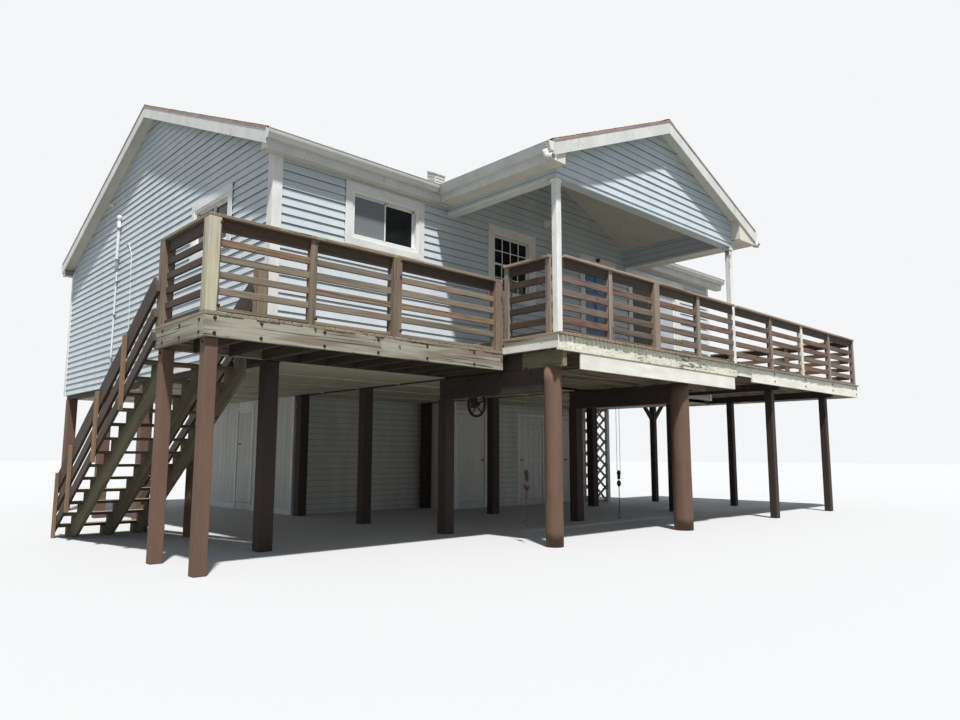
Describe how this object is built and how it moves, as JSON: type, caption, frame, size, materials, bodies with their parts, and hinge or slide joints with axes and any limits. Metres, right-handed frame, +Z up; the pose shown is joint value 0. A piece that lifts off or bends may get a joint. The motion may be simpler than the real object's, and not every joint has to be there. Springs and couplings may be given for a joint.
{
  "type": "stilt house",
  "caption": "Wooden house on tall stilts with a gabled roof, a porch over a wrap-around deck, an outside stair and storage rooms below.",
  "frame": {"origin": "centre of the foot of the stilt under the front-left corner of the house", "axes": "+Z up, +X along the front from the stair towards the open deck, +Y from the front towards the back"},
  "size_m": [15.541, 12.246, 7.6131],
  "materials": {
    "brown_timber": "brown stain",
    "grey_timber": "weathered bare",
    "white_timber": "old white paint",
    "deck_timber": "weathered bare",
    "blue_siding": "satin",
    "white_siding": "satin",
    "shingles": "rough granules",
    "cream_panel": "matt paint",
    "white_metal": "gloss paint",
    "window_glass": "dark clear",
    "teal_paint": "satin paint",
    "door_paint": "satin paint",
    "rusty_iron": "rusted"
  },
  "bodies": {
    "house": {"house_stilts": "brown_timber", "front_piles": "brown_timber", "hoist_beams": "brown_timber", "deck_beams": "brown_timber", "floor_girders": "brown_timber", "floor_joists": "grey_timber", "underfloor": "cream_panel", "floor": "grey_timber", "front_wall": "blue_siding", "back_wall": "blue_siding", "left_gable_wall": "blue_siding", "right_gable_wall": "blue_siding", "main_roof_front": "shingles", "main_roof_back": "shingles", "porch_roof": "shingles", "fascias": "white_timber", "soffits": "cream_panel", "gutters": "white_metal", "porch_gable_walls": "blue_siding", "porch_supports": "white_timber", "window_frames": "white_timber", "window_glass": "window_glass", "entry_door": "teal_paint", "walkway_frame": "grey_timber", "walkway_deck": "deck_timber", "porch_rims": "white_timber", "porch_joists": "grey_timber", "inner_porch_frame": "white_timber", "porch_deck": "deck_timber", "side_deck": "deck_timber", "stair_stringers": "grey_timber", "stair_treads": "deck_timber", "stair_railing": "grey_timber", "walkway_railing": "grey_timber", "porch_railing": "grey_timber", "storage_front_walls": "blue_siding", "storage_outer_walls": "white_siding", "storage_heads": "white_siding", "lattice_panel": "white_timber", "roof_vent": "white_metal"},
    "hoist_wheel": {"hoist_wheel": "rusty_iron"},
    "flush_door": {"flush_door": "door_paint"},
    "panelled_door": {"panelled_door": "door_paint"},
    "end_door": {"end_door": "door_paint"},
    "batten_door": {"batten_door": "white_siding"}
  },
  "joints": [
    {"name": "flush_door_hinge", "type": "hinge", "parent": "house", "child": "flush_door", "pos_m": [6.663, 3.697, 1.165], "axis": [0, 0, -1], "range_deg": [0, 105]},
    {"name": "panelled_door_hinge", "type": "hinge", "parent": "house", "child": "panelled_door", "pos_m": [9.587, 3.697, 1.165], "axis": [0, 0, 1], "range_deg": [0, 105]},
    {"name": "end_door_hinge", "type": "hinge", "parent": "house", "child": "end_door", "pos_m": [11.197, 3.697, 1.165], "axis": [0, 0, 1], "range_deg": [0, 90]},
    {"name": "batten_door_hinge", "type": "hinge", "parent": "house", "child": "batten_door", "pos_m": [3.047, 6.603, 1.165], "axis": [0, 0, 1], "range_deg": [0, 100]},
    {"name": "hoist_wheel_spin", "type": "hinge", "parent": "house", "child": "hoist_wheel", "pos_m": [3.255, -0.545, 2.01], "axis": [1, 0, 0], "continuous": true}
  ]
}
